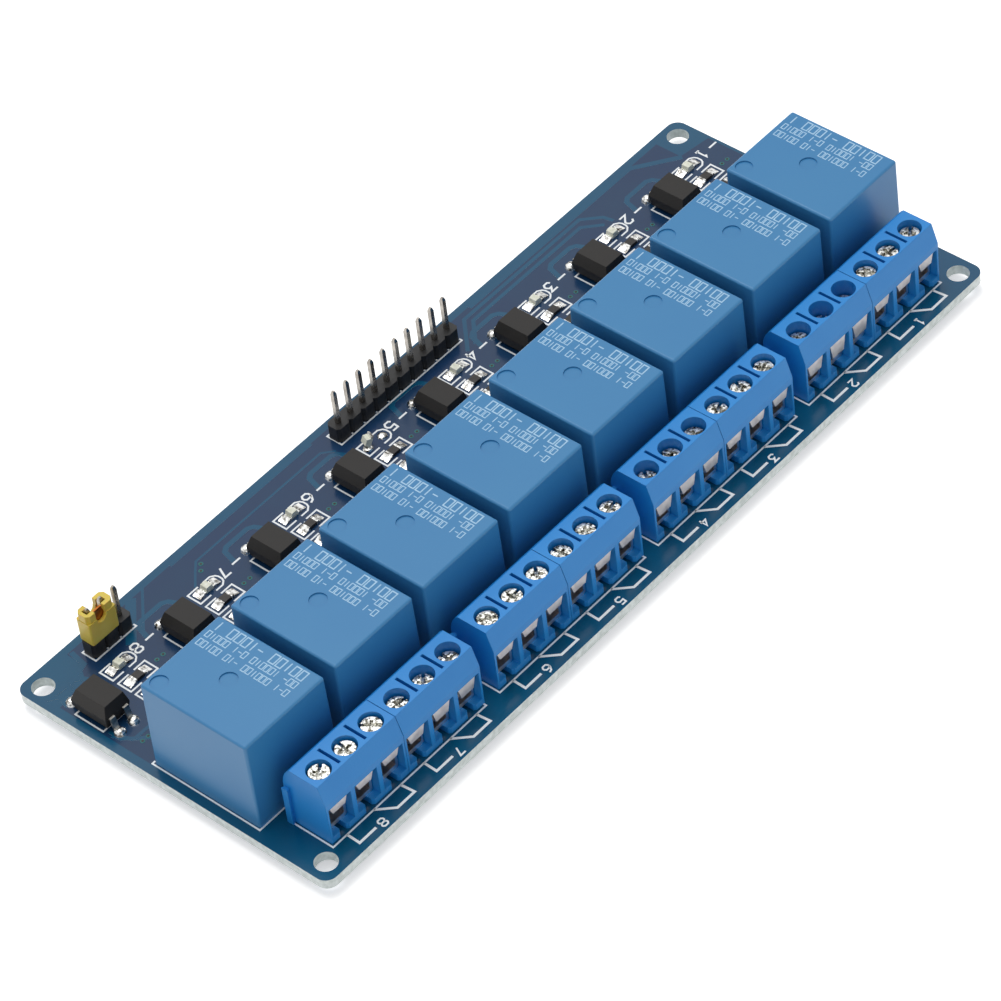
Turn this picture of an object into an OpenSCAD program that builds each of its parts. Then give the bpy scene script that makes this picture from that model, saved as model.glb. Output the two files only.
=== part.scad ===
// Relay module board: eight sealed relays with screw terminals, optocouplers,
// a ten-pin input header and a supply header with a pull-off jumper.
// Origin at the bottom centre, X along the board towards channel 1,
// -Y at the screw terminals, +Z up. Millimetres.

/* [Circuit board] */
// Length of the circuit board
board_l = 139.0; // [138:0.1:144]
// Width of the circuit board
board_w = 56.7; // [56:0.1:62]
// Thickness of the laminate
board_t = 1.6; // [1.0:0.1:2.4]
// Radius of the board corners
corner_r = 1.8; // [0.5:0.1:2.6]
// Diameter of the four mounting holes
hole_d = 3.3; // [2.8:0.1:3.6]
// Distance of each mounting hole from the board edges
hole_inset = 2.75; // [2.5:0.05:3.0]
// Length of the trimmed pins below the board
pin_tail = 1.5; // [1.2:0.1:2.5]

/* [Relays] */
// Spacing of the relays along the board
relay_pitch = 17.14; // [16.9:0.02:17.3]
// Relay size along the board
relay_l = 15.4; // [15.0:0.1:15.8]
// Relay size across the board
relay_w = 19.0; // [18.4:0.1:19.4]
// Relay height above the board
relay_h = 15.3; // [13:0.1:18]
// Radius of the moulded top edges of the relays
relay_edge_r = 0.4; // [0.2:0.05:0.8]

/* [Screw terminals] */
// Spacing of the terminal poles
pole_pitch = 5.0; // [4.96:0.02:5.08]
// Height of the terminal blocks above the board
term_h = 10.3; // [10:0.1:12]
// Diameter of the screw wells
well_d = 3.45; // [3.2:0.05:3.7]
// Width of the wire entries
entry_w = 4.2; // [4.0:0.05:4.3]

/* [Optocouplers] */
// Optocoupler body size along the board
opto_l = 4.6; // [4.2:0.1:4.9]
// Optocoupler body size across the board
opto_w = 6.5; // [6.2:0.1:6.8]
// Optocoupler height above the board
opto_h = 4.0; // [3.6:0.1:4.4]

/* [Headers and jumper] */
// Height of the black header strips
strip_h = 2.54; // [2.0:0.02:3.0]
// Height of the input pins above the board
input_pin_h = 8.55; // [7:0.05:11]
// Height of the supply pins above the board
supply_pin_h = 8.2; // [7.4:0.05:10]
// Height of the jumper
jumper_h = 5.2; // [4.8:0.1:6.0]

/* [Hidden] */

$fn = 32;
eps = 0.01;
gap = 0.05;                 // running clearance between metal pieces
channels = 8;
under = pin_tail;           // underside of the board
top = pin_tail + board_t;   // component side of the board
function relay_x(ch) = ((channels + 1) / 2 - ch) * relay_pitch;

// rows across the board, from its -Y edge (terminals) or +Y edge (inputs)
term_in = 4.05;
relay_in = 22.85;
opto_in = 12.4;
led_in = 8.45;
resistor_in = [11.9, 15.15];
transistor_in = 14.75;
diode_in = 17.45;
header_in = 3.55;
supply_in = 3.9;
supply_in_x = 14.2;         // supply header, from the -X edge
term_front = -board_w / 2 + term_in;
relay_y = -board_w / 2 + relay_in;
opto_y = board_w / 2 - opto_in;
led_y = board_w / 2 - led_in;
resistor_ys = [for (d = resistor_in) board_w / 2 - d];
header_y = board_w / 2 - header_in;
supply_y = board_w / 2 - supply_in;
supply_x = -board_l / 2 + supply_in_x;

// relays
relay_draft = 0.16;         // taper of the cover on each side
mark_d = 2.6;               // shallow moulding marks on the top
mark_depth = 0.22;
mark_in = 1.85;             // corner mark, from the top's +Y and -X edges
mark_y = 0.5;               // centre mark, from the relay centre
coil_dx = 6.0;              // coil and contact pins, from the centre line
com_y = 7.1;                // common pin, from the relay centre
coil_y = 5.1;
contact_y = -7.1;
relay_pin_w = 1.0;
relay_pin_t = 0.5;
coil_pin_d = 0.7;
pin_hole_d = 1.3;
relay_pin_at = [[0, com_y], [-coil_dx, coil_y], [coil_dx, coil_y],
    [-coil_dx, contact_y], [coil_dx, contact_y]];

// screw terminals, two three-way blocks to a group
poles = 3;
block_l = poles * pole_pitch;
group_pitch = 32.77;
term_depth = 7.45;
front_break = 7.2;          // height where the front starts to lean back
front_lean = 1.0;
top_back = 5.9;             // back edge of the flat top, from the front
back_break = 7.3;
floor_t = 1.05;
entry_h = 5.1;
cavity_depth = 5.8;
slot_w = 1.15;              // slot in the floor for the solder pin
slot_flare = 0.35;
screw_y = 2.95;             // screw axis, from the front
groove_w = 0.45;            // cuts in the top between the poles
groove_l = 3.75;
groove_in = 1.55;
groove_depth = 1.6;
block_gap = 0.08;           // gap between neighbouring blocks
rib_out = 0.55;             // dovetail that joins one block to the next
rib_neck = 0.6;
rib_wide = 1.1;
rib_y = 6.75;               // rib centre, from the front
rib_h = 6.7;
rib_gap = 0.1;
cage_w = 3.8;
cage_in = 1.25;             // cage front, from the terminal front
cage_l = 3.9;
cage_h = 5.05;
cage_side = 0.4;
cage_floor = 0.7;
cage_roof = 0.9;
cage_r = 0.5;
term_pin_w = 1.0;
term_pin_t = 0.8;
term_pin_y = 3.7;           // solder pin centre, from the front
leaf_t = 0.3;
leaf_front = 0.3;           // leaf face, from the terminal front
leaf_wide = 3.4;
leaf_narrow = 2.35;
leaf_reach = 4.5;
leaf_ramp_gap = 0.1;        // the tongue is level from here on, under the screw
leaf_rest = 4.55;           // underside of the fold with the screw right up
leaf_drop = 0.65;           // share of the screw travel seen at the fold
head_d = 2.85;
head_h = 1.5;
shank_d = 2.5;
screw_l = 5.2;
drive_w = 0.5;
drive_depth = 0.7;
drive_cross = 1.7;
first_turn = 35;            // each screw stopped at its own angle
turn_step = 47;
least_sunk = 0.5;
// how far each screw head sits below the block top, channel 8 to channel 1
sunk = [0.5, 0.6, 0.6, 1.2, 1.4, 1.5, 0.6, 0.7, 0.8, 1.0, 1.0, 1.0,
    1.7, 1.6, 1.6, 1.0, 0.9, 1.0, 1.8, 2.5, 2.5, 0.9, 0.8, 1.0];

// optocouplers
opto_dx = -5.25;            // from the relay centre line
opto_lift = 0.5;            // the body stands clear of the board
opto_waist = 2.3;           // height of the mould line
opto_slope = 0.35;          // the top is this much in on the +X side
opto_bevel = 0.75;          // on the -X side, where pin 1 is
opto_slope_y = 0.55;        // and on the sides with leads
opto_under = 0.3;           // the underside is this much in all round
opto_land = 0.05;           // upright band above the leads
lead_pitch = 2.54;
lead_w = 0.9;
lead_t = 0.25;
lead_out = 0.35;            // level run beside the body
lead_splay = 0.5;
lead_foot = 0.8;
blob_d = 1.8;
blob_h = 0.75;

// headers and jumper
pin_pitch = 2.54;
pin_sq = 0.64;
pin_point = 0.5;            // length of the tapered tips
pin_tip = 0.34;
strip_w = 2.5;
strip_notch = 0.45;
header_hole_d = 1.0;
input_pins = 10;
input_x = 3.1;
supply_pins = 3;
jumper_l = 5.05;
jumper_w = 2.6;
jumper_r = 0.3;
jumper_off = 0.15;          // the cap sits a little off the middle of its pins
shoulder_h = 3.9;
head_in_x = 0.06;           // head above the shoulder, inside the body
head_in_y = 0.15;
head_cut = 0.5;             // its cut corners
u_slot_w = 1.75;            // notch through both long sides
u_slot_floor = 2.95;
pocket_w = 1.0;             // channel round the pin tips
clip_l = 3.6;
clip_w = 1.36;
clip_t = 0.28;
clip_h = 4.1;
clip_gap = 0.05;            // clip to cap
clip_low = 2.85;            // the leaf on the +Y side is shorter
clip_foot = 0.3;
clip_band = 0.9;            // height of the strip that bridges the two leaves
clip_band_z = 1.7;
clip_tab_l = 1.5;           // test tab of the -Y leaf, seen in the notch
clip_tab_top = 4.95;
jumper_x = supply_x - pin_pitch / 2;
jumper_z = top + strip_h;

// chips beside the optocouplers
chip_dx = 2.05;
chip_l = 2.1;
chip_w = 1.25;
chip_h = 0.55;
chip_end = 0.35;
led_base_h = 0.35;
led_h = 0.95;
led_lens_l = 1.3;
led_taper = 0.15;
fillet_l = 1.05;
fillet_w = 1.45;
fillet_h = 0.5;
loose_led = 5;              // the LED of this channel stands on end at its -X pad
loose_tilt = 66;
loose_turn = -18;
loose_in = 0.3;             // its foot, from the middle of the solder
mound_r = 0.78;             // bare solder on its pads
mound_h = 0.34;
mound_x = 1.5;              // pad centres, from the LED centre
transistor_at = [6.0, board_w / 2 - transistor_in];
transistor_size = [2.9, 1.3, 1.0];
diode_at = [6.0, board_w / 2 - diode_in];
diode_size = [2.7, 1.6, 1.15];
tab_l = 0.55;
tab_h = 0.6;

// solder below the board
pad_r = 1.05;
cone_r = 0.68;
cone_h = 1.0;
small_pad_r = 0.85;
small_cone_r = 0.5;

// box with upright edges rounded, centred in x and y, from z = 0
module upright_box(l, w, h, r) {
    translate([-l / 2 + r, -w / 2, 0])
        cube([l - 2 * r, w, h]);
    translate([-l / 2, -w / 2 + r, 0])
        cube([l, w - 2 * r, h]);
    for (sx = [-1, 1], sy = [-1, 1])
        translate([sx * (l / 2 - r), sy * (w / 2 - r), 0])
            cylinder(r = r, h = h);
}

// extrude a y-z outline along x, centred
module along_x(l) {
    translate([-l / 2, 0, 0])
        rotate([90, 0, 90])
            linear_extrude(l)
                children();
}

// extrude an x-z outline along y, centred
module along_y(l) {
    translate([0, l / 2, 0])
        rotate([90, 0, 0])
            linear_extrude(l)
                children();
}

// positions, each child drawn relative to the point on the board top
module at_channels() {
    for (ch = [1:channels])
        translate([relay_x(ch), 0, top])
            children();
}

// pole i counts from -X, 0 to 23, origin at the terminal front on the board
function block_x(b) = (floor(b / 2) - 1.5) * group_pitch + (b % 2 - 0.5) * block_l;
function pole_x(i) = block_x(floor(i / poles)) + (i % poles - 1) * pole_pitch;

// ---------------------------------------------------------------- board

module circuit_board() {
    color("#1d5470")
        difference() {
            translate([0, 0, under])
                upright_box(board_l, board_w, board_t, corner_r);
            for (sx = [-1, 1], sy = [-1, 1])
                translate([sx * (board_l / 2 - hole_inset), sy * (board_w / 2 - hole_inset), 0])
                    cylinder(d = hole_d, h = top + 1);
            for (ch = [1:channels], p = relay_pin_at)
                translate([relay_x(ch) + p[0], relay_y + p[1], 0])
                    cylinder(d = pin_hole_d, h = top + 1);
            for (i = [0:channels * poles - 1])
                translate([pole_x(i), term_front + term_pin_y, 0])
                    cylinder(d = pin_hole_d + 0.1, h = top + 1);
            for (i = [0:input_pins - 1])
                translate([header_pin_x(input_x, input_pins, i), header_y, 0])
                    cylinder(d = header_hole_d, h = top + 1);
            for (i = [0:supply_pins - 1])
                translate([header_pin_x(supply_x, supply_pins, i), supply_y, 0])
                    cylinder(d = header_hole_d, h = top + 1);
        }
}

// ---------------------------------------------------------------- relays

module relay(ch) {
    top_l = relay_l - 2 * relay_draft;
    top_w = relay_w - 2 * relay_draft;
    r = relay_edge_r;
    color("#3f83bd")
        translate([relay_x(ch), relay_y, top])
            difference() {
                hull() {
                    for (sx = [-1, 1], sy = [-1, 1]) {
                        translate([sx * (relay_l / 2 - r), sy * (relay_w / 2 - r), 0])
                            cylinder(r = r, h = 0.1, $fn = 20);
                        translate([sx * (top_l / 2 - r), sy * (top_w / 2 - r), relay_h - r])
                            sphere(r = r, $fn = 20);
                    }
                }
                translate([-top_l / 2 + mark_in, top_w / 2 - mark_in, relay_h - mark_depth])
                    cylinder(d = mark_d, h = 1);
                translate([0, mark_y, relay_h - mark_depth])
                    cylinder(d = mark_d, h = 1);
            }
}

module relay_pins() {
    color("#c9c9c4")
        for (ch = [1:channels], i = [0:4])
            translate([relay_x(ch) + relay_pin_at[i][0], relay_y + relay_pin_at[i][1], 0])
                if (i == 1 || i == 2)
                    cylinder(d = coil_pin_d, h = top);
                else
                    translate([-relay_pin_w / 2, -relay_pin_t / 2, 0])
                        cube([relay_pin_w, relay_pin_t, top]);
}

// ---------------------------------------------------------------- screw terminals

// outline in y-z, front at 0; the back of the top is a shallow curve
function back_curve(n) = [for (k = [0:n])
    let (t = k / n)
    [top_back + (term_depth - top_back) * (t + 0.12 * sin(180 * t)),
     term_h - (term_h - back_break) * (t - 0.12 * sin(180 * t))]];

module terminal_outline() {
    polygon(concat([[0, 0], [0, front_break], [front_lean, term_h]],
        back_curve(4), [[term_depth, 0]]));
}

// dovetail in plan, pointing to -X from its root at x = 0
module dovetail(grow, h) {
    linear_extrude(h)
        polygon([[block_gap, -rib_neck / 2 - grow], [-rib_out - grow, -rib_wide / 2 - grow],
            [-rib_out - grow, rib_wide / 2 + grow], [block_gap, rib_neck / 2 + grow]]);
}

module floor_slot() {
    w = slot_w / 2;
    translate([0, 0, -eps])
        linear_extrude(floor_t + 2 * eps)
            polygon([[-w - slot_flare, -eps], [-w, slot_flare], [-w, term_pin_y + w],
                [w, term_pin_y + w], [w, slot_flare], [w + slot_flare, -eps]]);
}

module terminal_housing(ch) {
    color("#3f91d3")
        translate([block_x(channels - ch), term_front, top])
            difference() {
                union() {
                    along_x(block_l - block_gap)
                        terminal_outline();
                    translate([-block_l / 2, rib_y, 0])
                        dovetail(0, rib_h);
                }
                translate([block_l / 2, rib_y, -eps])
                    dovetail(rib_gap, rib_h + rib_gap + eps);
                for (p = [-1:1])
                    translate([p * pole_pitch, 0, 0]) {
                        translate([-entry_w / 2, -eps, floor_t])
                            cube([entry_w, cavity_depth, entry_h]);
                        floor_slot();
                        translate([0, screw_y, floor_t + entry_h - eps])
                            cylinder(d = well_d, h = term_h);
                    }
                for (p = [-0.5, 0.5])
                    translate([p * pole_pitch - groove_w / 2, groove_in, term_h - groove_depth])
                        cube([groove_w, groove_l, groove_depth + 1]);
            }
}

module terminal_cages() {
    color("#c3c3bd")
        for (i = [0:channels * poles - 1])
            translate([pole_x(i), term_front + cage_in, top + floor_t])
                difference() {
                    rotate([-90, 0, 0])
                        translate([0, -cage_h / 2, 0])
                            upright_box(cage_w, cage_h, cage_l, cage_r);
                    translate([-cage_w / 2 + cage_side, -1, cage_floor])
                        cube([cage_w - 2 * cage_side, cage_l + 2, cage_h - cage_floor - cage_roof]);
                    translate([0, screw_y - cage_in, cage_h / 2])
                        cylinder(d = shank_d + 2 * gap, h = cage_h);
                }
}

module terminal_pins() {
    color("#c9c9c4")
        for (i = [0:channels * poles - 1])
            translate([pole_x(i) - term_pin_w / 2, term_front + term_pin_y - term_pin_t / 2, 0])
                cube([term_pin_w, term_pin_t, top + floor_t]);
}

// the wire leaf: a tapered fold in front of the cage and a tongue under the screw
module leaf(sink) {
    fold = leaf_rest - leaf_drop * (sink - least_sunk);
    tip = term_h - sink - screw_l;
    level = screw_y - shank_d / 2 - leaf_ramp_gap;
    hook = floor_t + cage_h - 0.1;
    translate([0, leaf_front + leaf_t / 2, 0])
        along_y(leaf_t)
            polygon([[-leaf_narrow / 2, fold], [leaf_narrow / 2, fold],
                [leaf_wide / 2, hook], [-leaf_wide / 2, hook]]);
    translate([-leaf_wide / 2 + 0.2, leaf_front, hook - leaf_t])
        cube([leaf_wide - 0.4, cage_in - leaf_front, leaf_t]);
    along_x(leaf_narrow)
        polygon([[leaf_front, fold], [level, tip - leaf_t], [leaf_reach, tip - leaf_t],
            [leaf_reach, tip], [level, tip], [leaf_front, fold + leaf_t]]);
}

module terminal_leaves() {
    color("#d8cfd0")
        for (i = [0:channels * poles - 1])
            translate([pole_x(i), term_front, top])
                leaf(sunk[i]);
}

module screw(turn) {
    translate([0, 0, -screw_l])
        cylinder(d = shank_d, h = screw_l - head_h + eps);
    difference() {
        translate([0, 0, -head_h])
            cylinder(d = head_d, h = head_h);
        rotate([0, 0, turn]) {
            translate([-head_d, -drive_w / 2, -drive_depth])
                cube([2 * head_d, drive_w, 1]);
            translate([-drive_w / 2, -drive_cross / 2, -drive_depth])
                cube([drive_w, drive_cross, 1]);
        }
    }
}

module terminal_screws() {
    color("#d4d4d0")
        for (i = [0:channels * poles - 1])
            translate([pole_x(i), term_front + screw_y, top + term_h - sunk[i]])
                screw(first_turn + turn_step * i);
}

// ---------------------------------------------------------------- optocouplers

module optocoupler(ch) {
    half = opto_l / 2;
    side = opto_w / 2;
    color("#2c2a29")
        translate([relay_x(ch) + opto_dx, opto_y, top])
            intersection() {
                along_y(opto_w)
                    polygon([[-half + opto_under, opto_lift], [half - opto_under, opto_lift],
                        [half, opto_waist], [half - opto_slope, opto_h],
                        [-half + opto_bevel, opto_h], [-half, opto_waist]]);
                along_x(opto_l)
                    polygon([[-side + opto_under, opto_lift], [side - opto_under, opto_lift],
                        [side, opto_waist - lead_t - opto_land], [side, opto_waist + opto_land],
                        [side - opto_slope_y, opto_h], [-side + opto_slope_y, opto_h],
                        [-side, opto_waist + opto_land], [-side, opto_waist - lead_t - opto_land]]);
            }
}

module opto_lead() {
    y0 = opto_w / 2;
    y1 = y0 + lead_out;
    y2 = y1 + lead_splay;
    y3 = y2 + lead_foot;
    z = opto_waist;
    t = lead_t;
    along_x(lead_w)
        polygon([[y0, z], [y1, z], [y2, t], [y3, t], [y3, 0],
            [y2 - t, 0], [y1 - t, z - t], [y0, z - t]]);
}

module at_opto_leads() {
    at_channels()
        translate([opto_dx, opto_y, 0])
            for (side = [0, 180], k = [-0.5, 0.5])
                rotate([0, 0, side])
                    translate([k * lead_pitch, 0, 0])
                        children();
}

module optocoupler_leads() {
    color("#b9b9b4")
        at_opto_leads()
            opto_lead();
}

// ---------------------------------------------------------------- headers

function header_pin_x(x, n, i) = x + (i - (n - 1) / 2) * pin_pitch;

module header_strip(n) {
    p = pin_pitch / 2;
    w = strip_w / 2;
    c = strip_notch;
    difference() {
        for (i = [0:n - 1])
            translate([header_pin_x(0, n, i), 0, 0])
                linear_extrude(strip_h)
                    polygon([[-p, -w + c], [-p + c, -w], [p - c, -w], [p, -w + c],
                        [p, w - c], [p - c, w], [-p + c, w], [-p, w - c]]);
        for (i = [0:n - 1])
            translate([header_pin_x(0, n, i) - pin_sq / 2, -pin_sq / 2, -1])
                cube([pin_sq, pin_sq, strip_h + 2]);
    }
}

// square pin with both ends tapered, from z = 0
module square_pin(h) {
    s = pin_sq / 2;
    t = pin_tip / 2;
    e = pin_point;
    intersection() {
        along_x(pin_sq)
            polygon([[-t, 0], [t, 0], [s, e], [s, h - e], [t, h], [-t, h], [-s, h - e], [-s, e]]);
        along_y(pin_sq)
            polygon([[-t, 0], [t, 0], [s, e], [s, h - e], [t, h], [-t, h], [-s, h - e], [-s, e]]);
    }
}

module input_header_strip() {
    color("#1f1f20")
        translate([input_x, header_y, top])
            header_strip(input_pins);
}

module input_header_pins() {
    color("#d2cfc4")
        for (i = [0:input_pins - 1])
            translate([header_pin_x(input_x, input_pins, i), header_y, 0])
                square_pin(top + input_pin_h);
}

module supply_header_strip() {
    color("#1f1f20")
        translate([supply_x, supply_y, top])
            header_strip(supply_pins);
}

module supply_header_pins() {
    color("#d2cfc4")
        for (i = [0:supply_pins - 1])
            translate([header_pin_x(supply_x, supply_pins, i), supply_y, 0])
                square_pin(top + supply_pin_h);
}

// ---------------------------------------------------------------- jumper

module jumper_head() {
    x = jumper_l / 2 - head_in_x;
    y = jumper_w / 2 - head_in_y;
    c = head_cut;
    polygon([[-x, -y + c], [-x + c, -y], [x - c, -y], [x, -y + c],
        [x, y - c], [x - c, y], [-x + c, y], [-x, y - c]]);
}

module jumper_cap() {
    color("#d8c25a")
        translate([jumper_x, supply_y, jumper_z])
            difference() {
                translate([jumper_off, 0, 0]) {
                    upright_box(jumper_l, jumper_w, shoulder_h, jumper_r);
                    linear_extrude(jumper_h)
                        jumper_head();
                }
                translate([0, 0, u_slot_floor + u_slot_w / 2]) {
                    rotate([90, 0, 0])
                        cylinder(d = u_slot_w, h = 2 * jumper_w, center = true);
                    translate([-u_slot_w / 2, -jumper_w, 0])
                        cube([u_slot_w, 2 * jumper_w, jumper_h]);
                }
                translate([-clip_l / 2 - clip_gap, -clip_w / 2 - clip_gap, -1])
                    cube([clip_l + 2 * clip_gap, clip_w + 2 * clip_gap, clip_h + clip_gap + 1]);
                translate([-(pin_pitch + pocket_w) / 2, -pocket_w / 2, 0])
                    cube([pin_pitch + pocket_w, pocket_w, jumper_h + 1]);
            }
}

// two spring leaves beside the pins, joined by a band across the middle
module jumper_clip() {
    color("#8a4b22")
        translate([jumper_x, supply_y, jumper_z]) {
            translate([-clip_l / 2, -clip_w / 2, clip_foot])
                cube([clip_l, clip_t, clip_h - clip_foot]);
            translate([-clip_l / 2, clip_w / 2 - clip_t, clip_foot])
                cube([clip_l, clip_t, clip_low - clip_foot]);
            translate([-pin_pitch / 2 + pin_sq / 2 + gap, -clip_w / 2, clip_band_z])
                cube([pin_pitch - pin_sq - 2 * gap, clip_w, clip_band]);
            translate([-clip_tab_l / 2, -clip_w / 2, clip_low])
                cube([clip_tab_l, clip_t, clip_tab_top - clip_low]);
        }
}

// ---------------------------------------------------------------- chips

// places an LED, lying flat on its two pads or on end at the -X pad
module at_leds() {
    for (ch = [1:channels])
        translate([relay_x(ch) + chip_dx, led_y, top])
            if (ch == loose_led)
                translate([-mound_x + loose_in, loose_in, 0])
                    rotate([0, -loose_tilt, loose_turn])
                        translate([chip_l / 2, 0, 0])
                            children();
            else
                children();
}

module status_leds() {
    color("#dfe0cf")
        at_leds() {
            translate([-chip_l / 2 + chip_end, -chip_w / 2, 0])
                cube([chip_l - 2 * chip_end, chip_w, led_base_h]);
            translate([0, 0, led_base_h])
                along_y(chip_w)
                    polygon([[-led_lens_l / 2, 0], [led_lens_l / 2, 0],
                        [led_lens_l / 2 - led_taper, led_h - led_base_h],
                        [-led_lens_l / 2 + led_taper, led_h - led_base_h]]);
        }
}

module chip_ends(h) {
    for (s = [-1, 1])
        translate([s * (chip_l - chip_end) / 2 - chip_end / 2, -chip_w / 2, 0])
            cube([chip_end, chip_w, h]);
}

module status_led_ends() {
    color("#cfcfc8")
        at_leds()
            chip_ends(led_base_h);
}

module chip_resistors() {
    color("#2a2420")
        at_channels()
            for (y = resistor_ys)
                translate([chip_dx - chip_l / 2 + chip_end, y - chip_w / 2, 0])
                    cube([chip_l - 2 * chip_end, chip_w, chip_h]);
}

module chip_resistor_ends() {
    color("#cfcfc8")
        at_channels()
            for (y = resistor_ys)
                translate([chip_dx, y, 0])
                    chip_ends(chip_h);
}

module block_on(at, size, lift) {
    translate([at[0] - size[0] / 2, at[1] - size[1] / 2, lift])
        cube([size[0], size[1], size[2] - lift]);
}

module transistors() {
    color("#232323")
        at_channels()
            block_on(transistor_at, transistor_size, 0.1);
}

module transistor_lead() {
    y0 = transistor_size[1] / 2;
    along_x(0.42)
        polygon([[y0, 0.6], [y0 + 0.3, 0.6], [y0 + 0.35, 0.12], [y0 + 0.6, 0.12],
            [y0 + 0.6, 0], [y0 + 0.2, 0], [y0 + 0.15, 0.48], [y0, 0.48]]);
}

module transistor_leads() {
    color("#c3c3bd")
        at_channels()
            translate([transistor_at[0], transistor_at[1], 0]) {
                transistor_lead();
                for (s = [-1, 1])
                    translate([s * 0.95, 0, 0])
                        rotate([0, 0, 180])
                            transistor_lead();
            }
}

module diodes() {
    color("#262626")
        at_channels()
            block_on(diode_at, diode_size, 0.1);
}

module diode_tabs() {
    color("#c3c3bd")
        at_channels()
            for (s = [-1, 1])
                translate([diode_at[0] + s * (diode_size[0] + tab_l) / 2, diode_at[1], 0])
                    translate([-tab_l / 2, -0.5, 0])
                        cube([tab_l, 1.0, tab_h]);
}

// ---------------------------------------------------------------- solder

module solder_cone(r1, r2) {
    translate([0, 0, under - cone_h])
        cylinder(r1 = r2, r2 = r1, h = cone_h, $fn = 24);
}

module pin_solder_joints() {
    color("#bfc0bd") {
        for (ch = [1:channels], i = [0:4])
            translate([relay_x(ch) + relay_pin_at[i][0], relay_y + relay_pin_at[i][1], 0])
                difference() {
                    solder_cone(pad_r, cone_r);
                    if (i == 1 || i == 2)
                        cylinder(d = coil_pin_d, h = top);
                    else
                        translate([-relay_pin_w / 2, -relay_pin_t / 2, 0])
                            cube([relay_pin_w, relay_pin_t, top]);
                }
        for (i = [0:channels * poles - 1])
            translate([pole_x(i), term_front + term_pin_y, 0])
                difference() {
                    solder_cone(pad_r + 0.1, cone_r);
                    translate([-term_pin_w / 2, -term_pin_t / 2, 0])
                        cube([term_pin_w, term_pin_t, top]);
                }
        for (i = [0:input_pins - 1])
            translate([header_pin_x(input_x, input_pins, i), header_y, 0])
                header_solder();
        for (i = [0:supply_pins - 1])
            translate([header_pin_x(supply_x, supply_pins, i), supply_y, 0])
                header_solder();
    }
}

module header_solder() {
    difference() {
        solder_cone(small_pad_r, small_cone_r);
        translate([-pin_sq / 2, -pin_sq / 2, 0])
            cube([pin_sq, pin_sq, top]);
    }
}

module chip_fillets() {
    for (side = [0, 180])
        rotate([0, 0, side])
            translate([chip_l / 2, 0, 0])
                along_y(fillet_w)
                    polygon([[0, 0], [fillet_l, 0], [fillet_l, fillet_h * 0.2],
                        [fillet_l * 0.5, fillet_h * 0.5], [0, fillet_h]]);
}

module solder_mound() {
    rotate_extrude($fn = 24)
        polygon([[0, 0], [mound_r, 0], [mound_r * 0.8, mound_h * 0.6],
            [mound_r * 0.4, mound_h * 0.95], [0, mound_h]]);
}

module surface_solder_joints() {
    color("#cbccc9") {
        at_opto_leads()
            difference() {
                translate([0, opto_w / 2 + lead_out + lead_splay + lead_foot / 2, 0])
                    rotate_extrude($fn = 24)
                        polygon([[0, 0], [blob_d / 2, 0], [blob_d * 0.42, blob_h * 0.5],
                            [blob_d * 0.25, blob_h * 0.88], [0, blob_h]]);
                opto_lead();
            }
        for (ch = [1:channels])
            translate([relay_x(ch) + chip_dx, 0, top]) {
                if (ch != loose_led)
                    translate([0, led_y, 0])
                        chip_fillets();
                for (y = resistor_ys)
                    translate([0, y, 0])
                        chip_fillets();
            }
        // bare pad and the joint that holds the loose LED
        translate([relay_x(loose_led) + chip_dx + mound_x, led_y, top])
            solder_mound();
        difference() {
            translate([relay_x(loose_led) + chip_dx - mound_x, led_y, top])
                solder_mound();
            at_leds() {
                chip_ends(led_base_h);
                translate([-chip_l / 2 + chip_end, -chip_w / 2, 0])
                    cube([chip_l - 2 * chip_end, chip_w, led_h]);
            }
        }
    }
}

circuit_board();
relay(1);  // relay_1
relay(2);  // relay_2
relay(3);  // relay_3
relay(4);  // relay_4
relay(5);  // relay_5
relay(6);  // relay_6
relay(7);  // relay_7
relay(8);  // relay_8
relay_pins();
terminal_housing(1);  // terminal_housing_1
terminal_housing(2);  // terminal_housing_2
terminal_housing(3);  // terminal_housing_3
terminal_housing(4);  // terminal_housing_4
terminal_housing(5);  // terminal_housing_5
terminal_housing(6);  // terminal_housing_6
terminal_housing(7);  // terminal_housing_7
terminal_housing(8);  // terminal_housing_8
terminal_cages();
terminal_pins();
terminal_leaves();
terminal_screws();
optocoupler(1);  // optocoupler_1
optocoupler(2);  // optocoupler_2
optocoupler(3);  // optocoupler_3
optocoupler(4);  // optocoupler_4
optocoupler(5);  // optocoupler_5
optocoupler(6);  // optocoupler_6
optocoupler(7);  // optocoupler_7
optocoupler(8);  // optocoupler_8
optocoupler_leads();
input_header_strip();
input_header_pins();
supply_header_strip();
supply_header_pins();
jumper_cap();
jumper_clip();
status_leds();
status_led_ends();
chip_resistors();
chip_resistor_ends();
transistors();
transistor_leads();
diodes();
diode_tabs();
pin_solder_joints();
surface_solder_joints();
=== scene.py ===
import bpy
import math
import numpy as np
from mathutils import Matrix, Vector


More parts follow.
